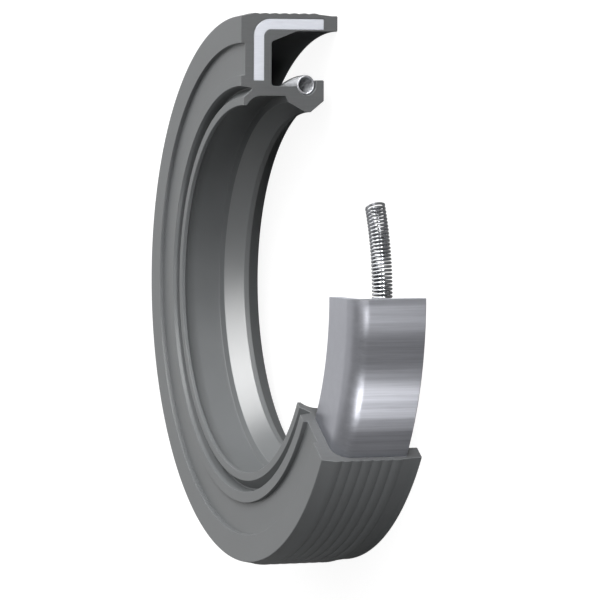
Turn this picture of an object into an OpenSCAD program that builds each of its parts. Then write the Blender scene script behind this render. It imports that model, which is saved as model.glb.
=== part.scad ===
// Radial shaft seal with a main lip and a dust lip, sectioned in steps to show how it is built:
// a moulded rubber cover over a bent steel case, with a garter spring wound round the main lip.
// The origin is on the seal's axis at the main lip's sealing edge, and +Z points to the air side.
// Every section is drawn as [radius, height], and turned about the axis from one cutting plane.

/* [Fitted size] */
// Diameter of the housing bore that the seal is pressed into
housing_d = 52; // [50:0.5:60]
// Interference of the waved outer wall in that bore, on diameter
press_allowance = 0.3; // [0.1:0.05:0.5]
// Width from the air side face to the oil side end
width = 9.8; // [9:0.1:13]
// Diameter of the shaft that turns in the seal
shaft_d = 35; // [30:0.5:38]
// Interference of the main lip's free edge on the shaft, on diameter, with its spring on
lip_allowance = 1.5; // [1:0.1:2]
// Interference of the dust lip on the shaft, on diameter
dust_allowance = 0.2; // [0:0.05:0.5]
// Running clearance between the shaft and the neck that joins the two lips
neck_clearance = 0.8; // [0.5:0.05:1.2]

/* [Sectioning] */
// Arc of the rubber cover that is left, in degrees
cover_sweep = 236; // [120:1:270]
// How far the steel case stands out past the cover, in degrees
case_reach = 34.5; // [5:0.5:40]
// How far the spring stands out past the case, in degrees
spring_reach = 25.5; // [5:0.5:40]

/* [Outer wall] */
// Number of moulded waves round the outer wall
wave_count = 7; // [4:1:9]
// Height of a wave from trough to crest
wave_h = 0.1; // [0.05:0.01:0.2]
// Rubber between the waves' troughs and the steel case
outer_skin = 0.42; // [0.3:0.01:0.8]
// Length of the sloping lead-in at the air side
front_lead = 1; // [0.5:0.1:1.5]
// Radial drop of that lead-in below the troughs
front_drop = 0.2; // [0.05:0.05:0.4]
// Length of the plain wall at the oil side
tail_plain = 1.9; // [1.5:0.1:2.5]
// Length of the sloping part of that plain wall
tail_lead = 1.3; // [0.5:0.1:1.4]
// Radial drop of that slope below the troughs
tail_drop = 0.14; // [0.05:0.01:0.3]

/* [Front face] */
// Radial width of the flat rim at the outer edge
rim_w = 2.55; // [1.5:0.05:3]
// Radial width of the flat band at the inner edge
band_w = 0.98; // [0.6:0.02:1.5]
// Depth of the ring recess between rim and band
recess_depth = 0.4; // [0.1:0.05:0.6]
// Draft of the recess's two walls
recess_draft = 0.06; // [0.02:0.01:0.1]

/* [Steel case] */
// Thickness of the steel sheet
steel_t = 1.05; // [0.8:0.05:1.3]
// Inside radius of the bend between flange and sleeve
bend_r = 0.65; // [0.4:0.05:1]
// Rubber in front of the flange
front_skin = 1.3; // [1:0.05:1.6]
// Rubber behind the flange
back_skin = 0.75; // [0.5:0.05:1]
// Rubber film inside the sleeve
bore_skin = 0.15; // [0.1:0.05:0.4]
// Rubber past the sleeve's end
tail_skin = 1.4; // [0.8:0.1:2]
// Rubber between the flange's bore and the neck
flange_cover = 0.5; // [0.3:0.05:1]
// Radial width of the sloping shoulder in the corner behind the flange
shoulder_w = 1; // [0.4:0.1:1.5]
// Length of that shoulder along the sleeve
shoulder_l = 2.6; // [1:0.1:3]

/* [Main lip] */
// Length of the sealing edge's narrow land
lip_land = 0.5; // [0.2:0.05:0.8]
// Length of the air side flank
flank_l = 1.76; // [1.2:0.02:2]
// Radial rise of the air side flank
flank_rise = 0.95; // [0.6:0.05:1.1]
// Length of the step between flank and neck
step_l = 0.28; // [0.1:0.02:0.4]
// Thickness of the neck
neck_t = 0.93; // [0.6:0.01:1.2]
// Distance from the sealing edge to the lip's oil side face
head_l = 1.6; // [1.4:0.05:2]
// Radial rise of the oil side flank
oil_rise = 1.08; // [0.6:0.04:1.4]
// Radial thickness of the lip's head, from the sealing edge to its outside
head_t = 3.05; // [2.6:0.05:3.6]
// Edge rounding of the lip's head
head_round = 0.16; // [0.05:0.01:0.25]
// Distance from the lip's oil side face to the seal's oil side end
lip_setback = 1.375; // [0.8:0.025:2]
// Fillet between the neck and the wall behind the flange
neck_fillet = 0.3; // [0.1:0.05:0.5]

/* [Dust lip] */
// Distance of the dust lip's tip behind the front face
dust_inset = 0.28; // [0.1:0.02:0.6]
// Length of the dust lip's narrow land
dust_land = 0.34; // [0.1:0.02:0.5]
// Length of its curved flank, down to the neck
dust_flank_l = 1.48; // [1:0.02:1.8]
// Radial thickness of its tip
dust_tip_t = 0.76; // [0.4:0.02:0.9]
// Depth of the notch between the dust lip and the front band
notch_depth = 1.12; // [0.7:0.02:1.4]
// Distance of the notch's root inside the front band's edge
notch_inset = 0.25; // [0.1:0.01:0.3]
// Width of the notch's root
notch_root = 0.12; // [0.05:0.01:0.2]

/* [Garter spring] */
// Diameter of the spring wire
wire_d = 0.36; // [0.2:0.02:0.42]
// Outer diameter of the coil
coil_d = 1.92; // [1.7:0.01:2]
// Pitch of the coil's turns along its centre line
turn_pitch = 0.5; // [0.45:0.05:0.9]
// Depth of the coil's centre below the top of the lip's head
spring_depth = 0.45; // [0.3:0.05:0.7]
// Offset of the coil's centre from the sealing edge, towards the air side
spring_offset = 0.17; // [0:0.01:0.4]
// Clearance between the coil and its groove
spring_clearance = 0.03; // [0.01:0.01:0.1]

/* [Hidden] */

// The cutting plane that all three pieces start from stands over the +Y axis
section_angle = 90;
case_sweep = cover_sweep + case_reach;
spring_sweep = case_sweep + spring_reach;

// Heights, counted from the sealing edge
tail_z = -head_l - lip_setback;
front_z = tail_z + width;
flange_z = front_z - front_skin;
wall_z = flange_z - steel_t - back_skin;
sleeve_end_z = tail_z + tail_skin;
spring_z = spring_offset;
flank_z = lip_land / 2 + flank_l;
dust_tip_z = front_z - dust_inset;
dust_neck_z = dust_tip_z - dust_land - dust_flank_l;

// Radii
crest_r = (housing_d + press_allowance) / 2;
trough_r = crest_r - wave_h;
case_r = trough_r - outer_skin;
tail_bore_r = case_r - steel_t - bore_skin;
shaft_r = shaft_d / 2;
lip_r = shaft_r - lip_allowance / 2;
dust_r = shaft_r - dust_allowance / 2;
neck_r = shaft_r + neck_clearance;
neck_top_r = neck_r + neck_t;
flange_bore_r = neck_top_r + flange_cover;
band_r = neck_top_r + band_w;
rim_r = trough_r - front_drop - rim_w;
head_r = lip_r + head_t;
spring_r = head_r - spring_depth;
groove_r = coil_d / 2 + spring_clearance;
coil_r = (coil_d - wire_d) / 2;

// Waves: each crest is one arc, and two arcs meet in a sharp trough
wave_from = front_z - front_lead;
wave_pitch = (width - front_lead - tail_plain) / wave_count;
wave_r = (wave_pitch * wave_pitch / 4 + wave_h * wave_h) / (2 * wave_h);
wave_half_angle = asin(wave_pitch / 2 / wave_r);
wave_steps = 8;

// The dust lip's flank is an arc that runs into the neck without a corner
dust_rise = neck_r - dust_r;
dust_flank_r = (dust_flank_l * dust_flank_l + dust_rise * dust_rise) / (2 * dust_rise);
dust_flank_angle = asin(dust_flank_l / dust_flank_r);

// Spring: one turn to each pitch, with the first turn's wire just inside the cutting plane
turns = round(spring_sweep * PI / 180 * spring_r / turn_pitch);
turn_step = spring_sweep / turns;
spring_start = section_angle + asin(wire_d / 2 / spring_r);
// The return half of each turn is a shade thinner, and its ends reach into the other half
return_wire_d = wire_d * 0.965;
turn_lap = 3;

corner_steps = 4;
bend_steps = 12;
groove_steps = 16;

// Points of an arc about centre, with both of its ends
function arc(centre, r, from, to, steps) =
    [for (i = [0 : steps]) centre + r * unit(from + (to - from) * i / steps)];
function unit(angle) = [cos(angle), sin(angle)];

// Scalloped stretch of the outer wall, from the air side to the oil side
wave_wall = [
    for (i = [0 : wave_count - 1], j = [0 : wave_steps - 1])
        [crest_r - wave_r, wave_from - (i + 0.5) * wave_pitch]
            + wave_r * unit(wave_half_angle * (1 - 2 * j / wave_steps))
];

// Outer wall and oil side end, down to the corner behind the flange
outer_outline = concat(
    [[trough_r - front_drop, front_z]],
    wave_wall,
    [
        [trough_r, tail_z + tail_plain],
        [trough_r - tail_drop, tail_z + tail_plain - tail_lead],
        [trough_r - tail_drop, tail_z],
        [tail_bore_r, tail_z],
        [tail_bore_r, wall_z - shoulder_l],
        [tail_bore_r - shoulder_w, wall_z],
    ]
);

// Neck and main lip, with the spring's groove round its head
lip_outline = concat(
    arc([neck_top_r + neck_fillet, wall_z - neck_fillet], neck_fillet, 90, 180, corner_steps),
    arc([spring_r, spring_z], groove_r, acos((neck_top_r - spring_r) / groove_r), 270, groove_steps),
    arc([head_r - head_round, spring_z - groove_r - head_round], head_round, 90, 0, corner_steps),
    arc([head_r - head_round, head_round - head_l], head_round, 0, -90, corner_steps),
    [
        [lip_r + oil_rise, -head_l],
        [lip_r, -lip_land / 2],
        [lip_r, lip_land / 2],
        [lip_r + flank_rise, flank_z],
        [neck_r, flank_z + step_l],
    ]
);

// Dust lip, from the neck round its tip to the notch beside the front band
dust_outline = concat(
    arc([neck_r - dust_flank_r, dust_neck_z], dust_flank_r, 0, dust_flank_angle, corner_steps * 2),
    [
        [dust_r, dust_tip_z],
        [dust_r + dust_tip_t, dust_tip_z],
        [neck_top_r - notch_inset - notch_root / 2, front_z - notch_depth],
        [neck_top_r - notch_inset + notch_root / 2, front_z - notch_depth],
    ]
);

// Front face: the inner band, the ring recess and the rim
front_outline = [
    [neck_top_r, front_z],
    [band_r, front_z],
    [band_r + recess_draft, front_z - recess_depth],
    [rim_r - recess_draft, front_z - recess_depth],
    [rim_r, front_z],
];

// The steel sheet's section: a flange, a bend and a sleeve
bend_centre = [case_r - steel_t - bend_r, flange_z - steel_t - bend_r];
case_outline = concat(
    [[flange_bore_r, flange_z - steel_t], [flange_bore_r, flange_z]],
    arc(bend_centre, bend_r + steel_t, 90, 0, bend_steps),
    [[case_r, sleeve_end_z], [case_r - steel_t, sleeve_end_z]],
    arc(bend_centre, bend_r, 0, 90, bend_steps)
);

$fn = 180;

// Rubber moulded all round the steel case, which fills its cavity face to face
module rubber_cover() {
    color([0.36, 0.37, 0.38])
        rotate_extrude(angle = cover_sweep, start = section_angle)
            difference() {
                polygon(concat(outer_outline, lip_outline, dust_outline, front_outline));
                polygon(case_outline);
            }
}

// Pressed steel ring with an L section
module steel_case() {
    color([0.68, 0.69, 0.73])
        rotate_extrude(angle = case_sweep, start = section_angle)
            polygon(case_outline);
}

// A point on the coil's inner side (side -1) or outer side (side 1), at an angle round the axis
function coil_point(side, angle) =
    (spring_r + side * coil_r) * [cos(angle), sin(angle)];

// Half a turn of wire that stands on the line between two coil points, above it or below it
module half_turn(from, to, wire, first_angle, sweep) {
    line = to - from;
    middle = (from + to) / 2;
    translate([middle[0], middle[1], spring_z])
        rotate([90, 0, atan2(line[1], line[0])])
            rotate([0, 0, first_angle])
                rotate_extrude(angle = sweep, $fn = 24)
                    translate([norm(line) / 2, 0])
                        circle(d = wire, $fn = 24);
}

// Wound wire: each turn rises straight across the coil and comes back one pitch further on
module garter_spring() {
    color([0.8, 0.81, 0.83])
        for (i = [0 : turns - 1]) {
            inner = coil_point(-1, spring_start + i * turn_step);
            outer = coil_point(1, spring_start + i * turn_step);
            next = coil_point(-1, spring_start + (i + 1) * turn_step);
            half_turn(inner, outer, wire_d, 0, 180);
            half_turn(next, outer, return_wire_d, 180 - turn_lap, 180 + 2 * turn_lap);
        }
}

rubber_cover();
steel_case();
garter_spring();
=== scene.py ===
import bpy
import numpy as np
from mathutils import Matrix, Vector
from mathutils.geometry import tessellate_polygon


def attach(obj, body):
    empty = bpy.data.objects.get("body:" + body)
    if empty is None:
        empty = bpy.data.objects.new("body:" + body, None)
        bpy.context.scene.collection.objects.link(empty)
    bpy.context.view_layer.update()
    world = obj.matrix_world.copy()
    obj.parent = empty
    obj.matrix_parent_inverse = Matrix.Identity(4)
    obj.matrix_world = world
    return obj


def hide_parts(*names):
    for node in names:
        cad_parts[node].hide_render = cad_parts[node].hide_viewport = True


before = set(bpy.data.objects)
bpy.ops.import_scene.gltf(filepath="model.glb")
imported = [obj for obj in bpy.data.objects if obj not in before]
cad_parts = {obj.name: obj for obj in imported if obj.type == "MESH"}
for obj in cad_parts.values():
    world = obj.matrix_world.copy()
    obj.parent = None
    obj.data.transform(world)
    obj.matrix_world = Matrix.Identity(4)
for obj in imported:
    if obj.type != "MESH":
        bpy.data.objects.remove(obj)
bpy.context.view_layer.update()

# Steel case: a ring of cold-rolled sheet, pressed to an L section with a flange bent into a sleeve.
# It goes into the mould first. The sample's cut leaves it standing 34.5 degrees out of its rubber,
# so its satin sleeve, its bend and its sawn end faces are bare there.
# Sizes are in mm and degrees. Heights count from the main lip's sealing edge, up to the air side.
MM = 0.001
FRONT_Z, TAIL_Z = 6.825, -2.975
FRONT_SKIN, TAIL_SKIN = 1.3, 1.4
CASE_R, FLANGE_BORE_R = 25.63, 19.73
STEEL_T, BEND_R, SHEET_EDGE = 1.05, 0.65, 0.08

# The cutting plane that all pieces start from stands over +Y, and a cut's edge is broken by CUT_EDGE.
SECTION_ANGLE, CUT_EDGE = 90.0, 0.04
CASE_SWEEP = 270.5
ROW_STEP, HARD_EDGE_ANGLE = 1.0, 40.0
INNER_BEND_STEPS, OUTER_BEND_STEPS = 12, 16

# The sheet's colour runs from STEEL_DARK to STEEL_PALE in streaks along the axis. These are partly draw
# marks and partly painted reflection bands, and they fade out between STREAKED_BELOW_Z and
# EVEN_ABOVE_Z, over the flange.
STEEL_DARK, STEEL_PALE = (0.20, 0.21, 0.24), (0.92, 0.93, 1.0)
SAWN_DARK, SAWN_PALE = (0.66, 0.68, 0.74), (0.78, 0.80, 0.86)
STREAKED_BELOW_Z, EVEN_ABOVE_Z = 4.2, 5.3
DRAWN_OUT = (1, 1, 0.02)

flange_z = FRONT_Z - FRONT_SKIN
sleeve_end_z = TAIL_Z + TAIL_SKIN


def unit(degrees):
    """Directions (cos, sin) of an array of angles."""
    turned = np.radians(np.asarray(degrees, float))
    return np.stack([np.cos(turned), np.sin(turned)], axis=-1)


def arc(centre, radius, first, last, steps):
    """Points of an arc: centre + radius * (cos, sin) of angles from first to last, ends included."""
    return np.array(centre) + radius * unit(np.linspace(first, last, steps + 1))


def eased(outline, radii, steps=4, margin=0.02):
    """A closed outline whose corner i becomes an arc of radius radii[i] that touches both of its sides.

    With half angle h between the sides, the arc's centre lies radius / sin(h) along the bisector, and
    its points turn from one side to the other through 180 - 2h degrees. One more point stands margin
    beyond each end of the arc, so that smooth shading ends there. A radius of 0 keeps the point.
    """
    outline, radii = np.asarray(outline, float), np.asarray(radii, float)
    to_last, to_next = np.roll(outline, 1, 0) - outline, np.roll(outline, -1, 0) - outline
    to_last /= np.linalg.norm(to_last, axis=1, keepdims=True)
    to_next /= np.linalg.norm(to_next, axis=1, keepdims=True)
    half = np.arccos(np.clip((to_last * to_next).sum(1), -1, 1)) / 2
    inward = to_last + to_next
    inward /= np.maximum(np.linalg.norm(inward, axis=1, keepdims=True), 1e-9)
    across = to_next - to_last
    across /= np.linalg.norm(across, axis=1, keepdims=True)
    centre = outline + inward * (radii / np.sin(half))[:, None]
    swing = ((np.pi / 2 - half)[:, None] * np.linspace(-1, 1, steps + 1))[..., None]
    spokes = across[:, None] * np.sin(swing) - inward[:, None] * np.cos(swing)
    points = centre[:, None] + radii[:, None, None] * spokes
    before = points[:, :1] + margin * to_last[:, None]
    after = points[:, -1:] + margin * to_next[:, None]
    points = np.concatenate([before, points, after], 1)
    points[radii == 0] = outline[radii == 0][:, None]
    keep = (radii[:, None] > 0) | (np.arange(steps + 3) == 0)
    return points[keep]


def shrunk(outline, inset):
    """A closed outline moved inset to its left at every point, on the mean normal of its two sides."""
    side = np.roll(outline, -1, 0) - outline
    normal = np.stack([-side[:, 1], side[:, 0]], 1)
    normal /= np.linalg.norm(normal, axis=1, keepdims=True)
    mean = normal + np.roll(normal, 1, 0)
    mean /= np.maximum((mean * mean).sum(1, keepdims=True), 0.5) / 2
    return outline + inset * mean


def add_mesh(name, points, faces, materials, slots):
    """A mesh object of points in mm, with a material slot for each face. Faces are smooth, with hard
    edges where they meet at over HARD_EDGE_ANGLE, and those of slot 1 are flat."""
    mesh = bpy.data.meshes.new(name)
    mesh.from_pydata((np.asarray(points) * MM).tolist(), [], faces)
    for material in materials:
        mesh.materials.append(material)
    mesh.polygons.foreach_set("material_index", slots)
    mesh.set_sharp_from_angle(angle=np.radians(HARD_EDGE_ANGLE))
    mesh.polygons.foreach_set("use_smooth", [slot != 1 for slot in slots])
    mesh.update()
    piece = bpy.data.objects.new(name, mesh)
    bpy.context.scene.collection.objects.link(piece)
    return piece


def turned_ring(name, outlines, sweep, materials, finish=None):
    """A ring section turned through sweep degrees from the cutting plane, with flat ends.

    Each outline is a closed run of (radius, height) with the solid on its left: the outer one first,
    then any hole in it. Point (j, i) is the outline's point i at angle j. Between the last two rows at
    each end the section shrinks by CUT_EDGE, which breaks the cut's edge, and triangles of slot 1 fill
    the end. The turned faces are in slot 0, or in the one that finish gives for their sides' middles.
    """
    angles = np.linspace(0, sweep, int(np.ceil(sweep / ROW_STEP)) + 1)
    lean = np.degrees(CUT_EDGE / CASE_R)
    angles = SECTION_ANGLE + np.concatenate([[0, lean], angles[1:-1], [sweep - lean, sweep]])
    rows = len(angles)
    points, faces, slots, ends, start = [], [], [], [], 0
    for outline in outlines:
        count = len(outline)
        inner = shrunk(outline, CUT_EDGE)
        rings = np.repeat(outline[None], rows, 0)
        rings[0] = rings[-1] = inner
        round_axis = unit(angles)[:, None, :] * rings[:, :, :1]
        points.append(np.concatenate([round_axis, rings[:, :, 1:]], 2).reshape(-1, 3))
        j, i = np.meshgrid(np.arange(rows - 1), np.arange(count), indexing="ij")
        near, far = (i + 1) % count, j + 1
        quads = np.stack([j * count + i, j * count + near, far * count + near, far * count + i], -1)
        faces += (quads.reshape(-1, 4)[:, ::-1] + start).tolist()
        middles = (outline + np.roll(outline, -1, 0)) / 2
        slots += ([0] * count if finish is None else finish(middles).tolist()) * (rows - 1)
        ends.append((start, count, inner))
        start += rows * count
    flat = [[Vector((x, z, 0)) for x, z in inner] for _, _, inner in ends]
    corners = np.array(list(tessellate_polygon(flat)))
    ring = np.concatenate([inner for _, _, inner in ends])
    a, b, c = ring[corners[:, 0]], ring[corners[:, 1]], ring[corners[:, 2]]
    winding = (b[:, 0] - a[:, 0]) * (c[:, 1] - a[:, 1]) - (b[:, 1] - a[:, 1]) * (c[:, 0] - a[:, 0])
    corners[winding < 0] = corners[winding < 0][:, ::-1]
    first_row = np.concatenate([first + np.arange(count) for first, count, _ in ends])
    last_row = first_row + np.concatenate([np.full(count, (rows - 1) * count) for _, count, _ in ends])
    faces += first_row[corners].tolist() + last_row[corners[:, ::-1]].tolist()
    slots += [1] * (2 * len(corners))
    return add_mesh(name, np.concatenate(points), faces, materials, slots)


def new_material(name):
    """An empty node material, with its node tree and its Principled shader."""
    material = bpy.data.materials.new(name)
    material.use_nodes = True
    return material, material.node_tree, material.node_tree.nodes["Principled BSDF"]


def noise(tree, scale, stretch=(1, 1, 1), **inputs):
    """Noise on Object coordinates, which are metres here; scale counts its repeats to a millimetre."""
    place = tree.nodes.new("ShaderNodeTexCoord")
    fit = tree.nodes.new("ShaderNodeMapping")
    fit.inputs["Scale"].default_value = [scale * s / MM for s in stretch]
    made = tree.nodes.new("ShaderNodeTexNoise")
    made.inputs["Scale"].default_value = 1.0
    for key, value in inputs.items():
        made.inputs[key].default_value = value
    tree.links.new(place.outputs["Object"], fit.inputs["Vector"])
    tree.links.new(fit.outputs["Vector"], made.inputs["Vector"])
    return made.outputs[0]


def spread(tree, value, low, high):
    """A 0 to 1 value laid over low to high: two numbers, or two colours.

    A Mix node's inputs are 0 for the factor, 2 and 3 for two numbers, and 6 and 7 for two colours. Its
    outputs are 0 for the number and 2 for the colour.
    """
    if np.ndim(low):
        made = tree.nodes.new("ShaderNodeMix")
        made.data_type = "RGBA"
        made.inputs[6].default_value = (*low, 1)
        made.inputs[7].default_value = (*high, 1)
        tree.links.new(value, made.inputs[0])
        return made.outputs[2]
    made = tree.nodes.new("ShaderNodeMapRange")
    made.inputs["To Min"].default_value = low
    made.inputs["To Max"].default_value = high
    tree.links.new(value, made.inputs["Value"])
    return made.outputs[0]


def faded(tree, value, rest, share):
    """The value at a share of 1, and the number rest at a share of 0."""
    made = tree.nodes.new("ShaderNodeMix")
    made.inputs[2].default_value = rest
    tree.links.new(share, made.inputs[0])
    tree.links.new(value, made.inputs[3])
    return made.outputs[0]


def along(tree, axis, first, last, low, high, coordinates="Object"):
    """A value that goes from low to high between two places on one axis of the coordinates."""
    place = tree.nodes.new("ShaderNodeTexCoord")
    split = tree.nodes.new("ShaderNodeSeparateXYZ")
    tree.links.new(place.outputs[coordinates], split.inputs[0])
    value = spread(tree, split.outputs[axis], low, high)
    value.node.inputs["From Min"].default_value = first
    value.node.inputs["From Max"].default_value = last
    return value


def bump(tree, height, depth):
    """A bump of depth mm from a 0 to 1 height."""
    made = tree.nodes.new("ShaderNodeBump")
    made.inputs["Strength"].default_value = 1.0
    made.inputs["Distance"].default_value = depth * MM
    tree.links.new(height, made.inputs["Height"])
    return made.outputs[0]


def satin_sheet():
    """Satin rolled sheet: blue-grey, and streaked down the sleeve by the draw, which stretches its
    highlights.
    The broad light and dark streaks in its colour are partly draw marks and partly painted reflection
    bands.
    The flange, which wasn't drawn, is more even."""
    material, tree, shader = new_material("satin_sheet")
    # Broad streaks in the colour, light and dark round the sleeve and even along the axis: partly draw
    # marks, partly painted reflection bands.
    streaks_and_painted_bands = noise(tree, 1.1, stretch=DRAWN_OUT, Detail=6.0, Roughness=0.75)
    lines = noise(tree, 6.0, stretch=DRAWN_OUT, Detail=2.0)
    by_height = along(tree, "Z", STREAKED_BELOW_Z * MM, EVEN_ABOVE_Z * MM, 1.0, 0.15)
    drawn = faded(tree, streaks_and_painted_bands, 0.5, by_height)
    tree.links.new(spread(tree, drawn, STEEL_DARK, STEEL_PALE), shader.inputs["Base Color"])
    tree.links.new(spread(tree, drawn, 0.22, 0.46), shader.inputs["Roughness"])
    tree.links.new(bump(tree, lines, 0.002), shader.inputs["Normal"])
    shader.inputs["Metallic"].default_value = 1.0
    shader.inputs["Anisotropic"].default_value = 0.85
    shader.inputs["Anisotropic Rotation"].default_value = 0.25
    around = tree.nodes.new("ShaderNodeTangent")
    around.direction_type = "RADIAL"
    around.axis = "Z"
    tree.links.new(around.outputs[0], shader.inputs["Tangent"])
    return material


def sawn_sheet():
    """The sheet's cut faces: brighter and matt, with fine saw marks that run with the seal's axis."""
    material, tree, shader = new_material("sawn_sheet")
    marks = noise(tree, 6.0, stretch=(1, 1, 0.15), Detail=3.0)
    tree.links.new(spread(tree, marks, SAWN_DARK, SAWN_PALE), shader.inputs["Base Color"])
    tree.links.new(bump(tree, marks, 0.004), shader.inputs["Normal"])
    shader.inputs["Metallic"].default_value = 0.55
    shader.inputs["Roughness"].default_value = 0.5
    return material


bend_centre = (CASE_R - STEEL_T - BEND_R, flange_z - STEEL_T - BEND_R)
sheet_corners = np.array([
    (FLANGE_BORE_R, flange_z - STEEL_T, SHEET_EDGE),
    *[(*point, 0) for point in arc(bend_centre, BEND_R, 90, 0, INNER_BEND_STEPS)],
    (CASE_R - STEEL_T, sleeve_end_z, SHEET_EDGE),
    (CASE_R, sleeve_end_z, SHEET_EDGE),
    *[(*point, 0) for point in arc(bend_centre, BEND_R + STEEL_T, 0, 90, OUTER_BEND_STEPS)],
    (FLANGE_BORE_R, flange_z, SHEET_EDGE),
])
sheet_outline = eased(sheet_corners[:, :2], sheet_corners[:, 2])
steel_case = turned_ring("pressed_case", [sheet_outline], CASE_SWEEP, [satin_sheet(), sawn_sheet()])
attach(steel_case, "root")
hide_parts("steel_case")

# Rubber cover: one nitrile moulding, cured round the case. It carries the waved press-fit wall, the
# recessed air side face, the dust lip, and the thin neck with the main lip and its spring groove.
# The sample's knife cut leaves 236 degrees of it, with flat cut faces at both ends.
COVER_SWEEP = 236.0

# Outer wall: a sloping lead-in at the air side, seven waves, then a plain stretch with its own lead-in
FRONT_LEAD, FRONT_DROP = 1.0, 0.2
CREST_R, TROUGH_R, WAVE_COUNT, WAVE_STEPS = 26.15, 26.05, 7, 8
TAIL_PLAIN, TAIL_LEAD, TAIL_DROP = 1.9, 1.3, 0.14

# Cavity: the films on the steel, and the sloping shoulder in the corner behind the flange
BACK_SKIN, BORE_SKIN = 0.75, 0.15
SHOULDER_W, SHOULDER_L = 1.0, 2.6

# Neck, main lip and spring groove: the lip's land, its air side flank with a step up to the neck, its
# head, and the coil that the groove holds
NECK_R, NECK_TOP_R = 18.3, 19.23
LIP_R, LIP_LAND = 16.75, 0.5
FLANK_L, FLANK_RISE, STEP_L = 1.76, 0.95, 0.28
HEAD_R, HEAD_L, OIL_RISE = 19.8, 1.6, 1.08
SPRING_R, SPRING_Z, COIL_D, SPRING_CLEARANCE = 19.35, 0.17, 1.92, 0.03
GROOVE_STEPS = 20

# Dust lip, and the notch between it and the front face's band
DUST_R, DUST_INSET, DUST_LAND = 17.4, 0.28, 0.34
DUST_FLANK_L, DUST_TIP_T, DUST_STEPS = 1.48, 0.76, 10
NOTCH_DEPTH, NOTCH_INSET, NOTCH_ROOT = 1.12, 0.25, 0.12

# Front face: the inner band, the ring recess and the rim
BAND_W, RIM_W, RECESS_DEPTH, RECESS_DRAFT = 0.98, 2.55, 0.4, 0.06

# Radii that ease the moulding's corners
FACE_EDGE, NOTCH_EDGE, OIL_EDGE, DUST_EDGE, STEP_EDGE = 0.03, 0.05, 0.06, 0.07, 0.08
WALL_EDGE, LAND_EDGE, HEAD_EDGE, LEAD_EDGE, FILLET_R = 0.1, 0.12, 0.14, 0.15, 0.3

# The polished part of the mould reaches a little past the main lip's flank and land.
POLISH_LAP_R, POLISH_LAP_Z = 0.02, 0.05
RUBBER_DARK, RUBBER_PALE = (0.122, 0.128, 0.131), (0.150, 0.156, 0.160)
CUT_DARK, CUT_PALE = (0.078, 0.081, 0.083), (0.104, 0.107, 0.109)

waves_from_z, waves_to_z = FRONT_Z - FRONT_LEAD, TAIL_Z + TAIL_PLAIN
wave_pitch = (waves_from_z - waves_to_z) / WAVE_COUNT
wave_rise = CREST_R - TROUGH_R
wave_r = (wave_pitch ** 2 / 4 + wave_rise ** 2) / (2 * wave_rise)
wave_half = np.degrees(np.arcsin(wave_pitch / 2 / wave_r))
wave_heights = [waves_from_z - (k + 0.5) * wave_pitch for k in range(WAVE_COUNT)]
waves = np.concatenate([
    arc((CREST_R - wave_r, height), wave_r, wave_half, -wave_half, WAVE_STEPS)[:-1]
    for height in wave_heights])

tail_bore_r = CASE_R - STEEL_T - BORE_SKIN
wall_z = flange_z - STEEL_T - BACK_SKIN
groove_r = COIL_D / 2 + SPRING_CLEARANCE
groove_from = np.degrees(np.arccos((NECK_TOP_R - SPRING_R) / groove_r))
groove = arc((SPRING_R, SPRING_Z), groove_r, groove_from, 270, GROOVE_STEPS)
flank_z = LIP_LAND / 2 + FLANK_L

dust_tip_z = FRONT_Z - DUST_INSET
dust_neck_z = dust_tip_z - DUST_LAND - DUST_FLANK_L
dust_rise = NECK_R - DUST_R
dust_flank_r = (DUST_FLANK_L ** 2 + dust_rise ** 2) / (2 * dust_rise)
dust_angle = np.degrees(np.arcsin(DUST_FLANK_L / dust_flank_r))
dust_flank = arc((NECK_R - dust_flank_r, dust_neck_z), dust_flank_r, 0, dust_angle, DUST_STEPS)
notch_r, notch_z = NECK_TOP_R - NOTCH_INSET, FRONT_Z - NOTCH_DEPTH

band_r, rim_r = NECK_TOP_R + BAND_W, TROUGH_R - FRONT_DROP - RIM_W
recess_z = FRONT_Z - RECESS_DEPTH

# The corners go down the outer wall, along the cavity, round the main lip, up to the dust lip and out
# over the front face, each as radius, height and the radius that eases it.
cover_corners = np.array([
    (TROUGH_R - FRONT_DROP, FRONT_Z, WALL_EDGE),
    *[(*point, 0) for point in waves],
    (TROUGH_R, waves_to_z, LEAD_EDGE),
    (TROUGH_R - TAIL_DROP, waves_to_z - TAIL_LEAD, LEAD_EDGE),
    (TROUGH_R - TAIL_DROP, TAIL_Z, WALL_EDGE),
    (tail_bore_r, TAIL_Z, WALL_EDGE),
    (tail_bore_r, wall_z - SHOULDER_L, FILLET_R),
    (tail_bore_r - SHOULDER_W, wall_z, FILLET_R),
    (NECK_TOP_R, wall_z, FILLET_R),
    *[(*point, 0) for point in groove],
    (HEAD_R, SPRING_Z - groove_r, HEAD_EDGE),
    (HEAD_R, -HEAD_L, HEAD_EDGE),
    (LIP_R + OIL_RISE, -HEAD_L, OIL_EDGE),
    (LIP_R, -LIP_LAND / 2, LAND_EDGE),
    (LIP_R, LIP_LAND / 2, LAND_EDGE),
    (LIP_R + FLANK_RISE, flank_z, LAND_EDGE),
    (NECK_R, flank_z + STEP_L, STEP_EDGE),
    *[(*point, 0) for point in dust_flank],
    (DUST_R, dust_tip_z, DUST_EDGE),
    (DUST_R + DUST_TIP_T, dust_tip_z, DUST_EDGE),
    (notch_r - NOTCH_ROOT / 2, notch_z, NOTCH_EDGE),
    (notch_r + NOTCH_ROOT / 2, notch_z, NOTCH_EDGE),
    (NECK_TOP_R, FRONT_Z, FACE_EDGE),
    (band_r, FRONT_Z, FACE_EDGE),
    (band_r + RECESS_DRAFT, recess_z, FACE_EDGE),
    (rim_r - RECESS_DRAFT, recess_z, FACE_EDGE),
    (rim_r, FRONT_Z, FACE_EDGE),
])
cover_outline = eased(cover_corners[::-1, :2], cover_corners[::-1, 2])
case_cavity = sheet_outline[::-1]


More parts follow.
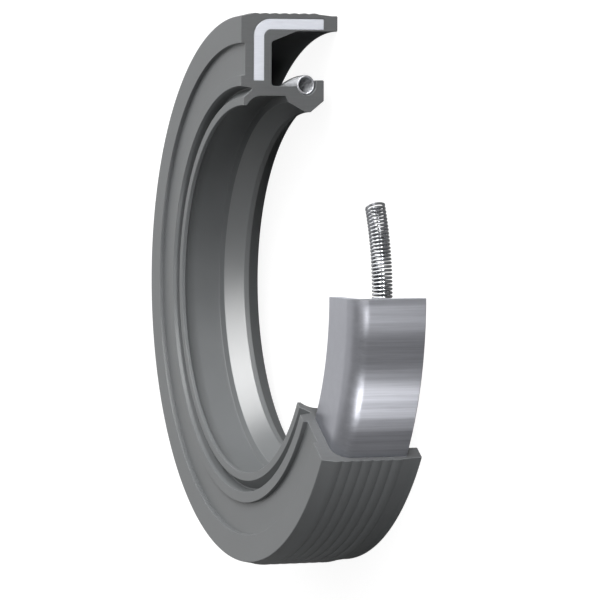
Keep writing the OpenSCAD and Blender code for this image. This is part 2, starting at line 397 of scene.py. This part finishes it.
def moulded_rubber():
    """Mid-grey nitrile rubber off the mould, with a fine even grain, faint clouds of bloom and a broad
    sheen."""
    material, tree, shader = new_material("moulded_rubber")
    clouds = noise(tree, 0.22, Detail=5.0)
    grain = noise(tree, 14.0, Detail=2.0)
    tree.links.new(spread(tree, clouds, RUBBER_DARK, RUBBER_PALE), shader.inputs["Base Color"])
    tree.links.new(spread(tree, clouds, 0.36, 0.42), shader.inputs["Roughness"])
    tree.links.new(bump(tree, grain, 0.002), shader.inputs["Normal"])
    shader.inputs["Specular IOR Level"].default_value = 0.4
    return material


def cut_rubber():
    """The knife-cut faces: darker and duller, with fine drag lines that run with the seal's axis."""
    material, tree, shader = new_material("cut_rubber")
    drag = noise(tree, 5.0, stretch=(1, 1, 0.08), Detail=4.0)
    tree.links.new(spread(tree, drag, CUT_DARK, CUT_PALE), shader.inputs["Base Color"])
    tree.links.new(bump(tree, drag, 0.006), shader.inputs["Normal"])
    shader.inputs["Roughness"].default_value = 0.6
    return material


def polished_rubber():
    """The same rubber on the main lip's land and air side flank, from a polished part of the mould."""
    material, tree, shader = new_material("polished_rubber")
    clouds = noise(tree, 0.22, Detail=5.0)
    tree.links.new(spread(tree, clouds, RUBBER_DARK, RUBBER_PALE), shader.inputs["Base Color"])
    tree.links.new(spread(tree, clouds, 0.34, 0.38), shader.inputs["Roughness"])
    shader.inputs["IOR"].default_value = 1.7
    shader.inputs["Specular IOR Level"].default_value = 1.0
    return material


def lip_finish(middles):
    """Slot 2 for the main lip's land and air side flank, and 0 for the rest of the outline."""
    radius, height = middles[:, 0], middles[:, 1]
    past_land = height > -LIP_LAND / 2 - POLISH_LAP_Z
    before_step = height < flank_z + POLISH_LAP_Z
    return np.where((radius < LIP_R + FLANK_RISE + POLISH_LAP_R) & past_land & before_step, 2, 0)


rubbers = [moulded_rubber(), cut_rubber(), polished_rubber()]
cover = turned_ring("rubber_moulding", [cover_outline, case_cavity], COVER_SWEEP, rubbers, lip_finish)
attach(cover, "root")
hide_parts("rubber_cover")

# Garter spring: one length of bright drawn wire, wound as a close right-handed coil and laid in the
# groove round the lip's head. It is cut with the sample, and stands 60 degrees out of the rubber.
SPRING_SWEEP = 296.0
WIRE_D, TURNS = 0.25, 296
STEPS_TO_A_TURN, WIRE_SIDES = 20, 8
WIRE_DARK, WIRE_PALE = (0.42, 0.43, 0.45), (0.54, 0.55, 0.57)
BRIGHT_BELOW_Y, DULL_ABOVE_Y = 17.5, 18.8


def wound_wire(name, material):
    """A wire swept along a coil that bends round the seal's axis.

    The wire's centre line is R - r cos(p) out from the axis and r sin(p) up from the groove's middle. R
    is the coil's radius round the axis and r its own, and p goes through a full circle at each turn.
    The wire's section is a circle across that line, spanned by the coil's own outward direction and
    the cross product of the line's tangent with it.
    """
    coil_r = (COIL_D - WIRE_D) / 2
    steps = TURNS * STEPS_TO_A_TURN
    share = np.linspace(0, 1, steps + 1)
    phase = 2 * np.pi * TURNS * share
    inset = np.arcsin(WIRE_D / 2 / SPRING_R)
    round_axis = np.radians(SECTION_ANGLE) + inset + (np.radians(SPRING_SWEEP) - 2 * inset) * share
    outward = np.stack([np.cos(round_axis), np.sin(round_axis), 0 * share], 1)
    up = np.array([0.0, 0.0, 1.0])
    line = (SPRING_R - coil_r * np.cos(phase))[:, None] * outward
    line = line + (SPRING_Z + coil_r * np.sin(phase))[:, None] * up
    tangent = np.gradient(line, axis=0)
    tangent /= np.linalg.norm(tangent, axis=1, keepdims=True)
    coil_out = -np.cos(phase)[:, None] * outward + np.sin(phase)[:, None] * up
    coil_out -= (coil_out * tangent).sum(1, keepdims=True) * tangent
    coil_out /= np.linalg.norm(coil_out, axis=1, keepdims=True)
    side = np.cross(tangent, coil_out)
    ring = unit(np.arange(WIRE_SIDES) * 360 / WIRE_SIDES) * WIRE_D / 2
    points = line[:, None] + ring[None, :, :1] * coil_out[:, None] + ring[None, :, 1:] * side[:, None]
    j, i = np.meshgrid(np.arange(steps), np.arange(WIRE_SIDES), indexing="ij")
    near = (i + 1) % WIRE_SIDES
    base, ahead = j * WIRE_SIDES, (j + 1) * WIRE_SIDES
    quads = np.stack([base + i, base + near, ahead + near, ahead + i], -1).reshape(-1, 4)
    end = np.arange(WIRE_SIDES)
    faces = [*quads.tolist(), end[::-1].tolist(), (steps * WIRE_SIDES + end).tolist()]
    return add_mesh(name, points.reshape(-1, 3), faces, [material], [0] * len(faces))


def worked(tree, operation, *parts):
    """The result of a Math node on parts, which are values or plain numbers."""
    made = tree.nodes.new("ShaderNodeMath")
    made.operation = operation
    for part, socket in zip(parts, made.inputs):
        if isinstance(part, float):
            socket.default_value = part
        else:
            tree.links.new(part, socket)
    return made.outputs[0]


def drawn_wire():
    """Bright drawn spring wire, a little uneven in its polish, and dulled towards the sawn end."""
    material, tree, shader = new_material("drawn_wire")
    patches = noise(tree, 2.5, Detail=3.0)
    polish = spread(tree, patches, 0.18, 0.24)
    dulled = along(tree, "Y", BRIGHT_BELOW_Y * MM, DULL_ABOVE_Y * MM, 0.0, 0.32)
    tree.links.new(spread(tree, patches, WIRE_DARK, WIRE_PALE), shader.inputs["Base Color"])
    tree.links.new(worked(tree, "ADD", polish, dulled), shader.inputs["Roughness"])
    shader.inputs["Metallic"].default_value = 1.0
    return material


spring = wound_wire("wound_spring", drawn_wire())
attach(spring, "root")
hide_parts("garter_spring")

# Floor: a plain white sheet that the seal lies on with its oil side end, far wider than the view.
# It isn't part of the seal. It glows up to white for the camera alone, and metal shows it as the lamps
# light it, with the seal's shadow on it. It throws little light back on the seal. Half its width and
# the gap that keeps it off the seal's end are in metres.
FLOOR_HALF, FLOOR_GAP = 3.0, 0.00001
FLOOR_DIM, FLOOR_SHOWN = (0.05, 0.05, 0.05), (0.22, 0.22, 0.22)
FLOOR_GLOW = 0.92


def seen(tree, share):
    """1 for what the camera sees, share for what a gloss or glass shows, and 0 for scattered light."""
    path = tree.nodes.new("ShaderNodeLightPath")
    value = path.outputs["Is Camera Ray"]
    for other in ("Is Glossy Ray", "Is Transmission Ray"):
        value = worked(tree, "MULTIPLY_ADD", path.outputs[other], share, value)
    return value


def white_floor():
    """Matt, without a sheen. It is white to the camera by its glow, grey to metal, and dim to scattered
    light."""
    material, tree, shader = new_material("white_floor")
    tree.links.new(spread(tree, seen(tree, 1.0), FLOOR_DIM, FLOOR_SHOWN), shader.inputs["Base Color"])
    tree.links.new(spread(tree, seen(tree, 0.0), 0.0, FLOOR_GLOW), shader.inputs["Emission Strength"])
    shader.inputs["Emission Color"].default_value = (1, 1, 1, 1)
    shader.inputs["Roughness"].default_value = 0.9
    shader.inputs["Specular IOR Level"].default_value = 0.0
    return material


floor_z = TAIL_Z * MM - FLOOR_GAP
floor_mesh = bpy.data.meshes.new("floor")
floor_mesh.from_pydata(
    [(x * FLOOR_HALF, y * FLOOR_HALF, floor_z) for x, y in ((-1, -1), (1, -1), (1, 1), (-1, 1))],
    [], [(0, 1, 2, 3)])
floor_mesh.materials.append(white_floor())
floor = bpy.data.objects.new("floor", floor_mesh)
bpy.context.scene.collection.objects.link(floor)

# Studio light: a surround that the camera sees white and metal sees dim, which lights the seal faintly
# from over +Y, and soft boxes that aim at the seal's middle. The surround's Y is that of a direction.
METAL_SHARE = 0.25
DARK_BELOW_Y, LIT_ABOVE_Y, SIDE_GLOW = -0.7, 0.9, 0.25

world = bpy.data.worlds.new("surround")
bpy.context.scene.world = world
world.use_nodes = True
sky = world.node_tree
surround = sky.nodes["Background"]
surround.inputs["Color"].default_value = (1, 1, 1, 1)
side_light = along(sky, "Y", DARK_BELOW_Y, LIT_ABOVE_Y, 0.0, SIDE_GLOW, "Generated")
strength = worked(sky, "MAXIMUM", seen(sky, METAL_SHARE), side_light)
sky.links.new(strength, surround.inputs["Strength"])


def soft_box(name, azimuth, elevation, distance, width, height, radiance):
    """An area lamp at a distance (m) from the seal, towards azimuth (from +X) and elevation, as bright
    as radiance, where 1 is white: an area lamp of power P has a radiance of P / (pi * area)."""
    lamp = bpy.data.lights.new(name, "AREA")
    lamp.shape = "RECTANGLE"
    lamp.size, lamp.size_y = width, height
    lamp.energy = radiance * np.pi * width * height
    box = bpy.data.objects.new(name, lamp)
    level = np.cos(np.radians(elevation))
    where = Vector((*(unit(azimuth) * level), np.sin(np.radians(elevation)))) * distance
    box.matrix_world = Matrix.Translation(where) @ where.to_track_quat("Z", "Y").to_matrix().to_4x4()
    bpy.context.scene.collection.objects.link(box)


# The boxes' azimuths, elevations, distances, widths, heights and radiances
soft_box("key_box", 50, 33, 0.8, 1.5, 0.25, 6.2)
soft_box("upper_box", 105, 52, 0.45, 0.75, 0.28, 2.0)
soft_box("low_box", 45, 4, 0.7, 0.6, 0.09, 22.0)
soft_box("ceiling_box", 180, 72, 1.2, 0.9, 0.8, 0.4)
soft_box("far_box", 182, 24, 0.9, 1.2, 0.6, 0.6)
soft_box("lower_strip", -43, 2.4, 0.7, 0.16, 0.055, 29.0)
soft_box("front_strip", -9, 2.4, 0.7, 0.05, 0.055, 29.0)

# Camera: at the photograph's viewing angle on the seal, which there stands upright. It looks down on
# the seal as it lies here, and is rolled by a quarter turn, so that the seal fills the frame as there.
# Its place and its nearest and furthest reach are in metres. The directions are the picture's right,
# the picture's top, and back towards whoever looks.
PLACE = (0.3747, 0.01886, 0.14486)
NEAREST, FURTHEST = 0.01, 20
LENS, SENSOR = 253.05, 36
TO_RIGHT = (0.3588, 0.0041, -0.9334)
TO_TOP = (-0.0479, 0.9988, -0.0140)
TO_VIEWER = (0.9322, 0.0497, 0.3585)

camera_data = bpy.data.cameras.new("camera")
camera_data.lens, camera_data.sensor_width = LENS, SENSOR
camera_data.clip_start, camera_data.clip_end = NEAREST, FURTHEST
camera = bpy.data.objects.new("camera", camera_data)
facing = Matrix((TO_RIGHT, TO_TOP, TO_VIEWER)).transposed().to_4x4()
camera.matrix_world = Matrix.Translation(PLACE) @ facing
bpy.context.scene.collection.objects.link(camera)
bpy.context.scene.camera = camera
bpy.context.scene.view_settings.view_transform = "Standard"
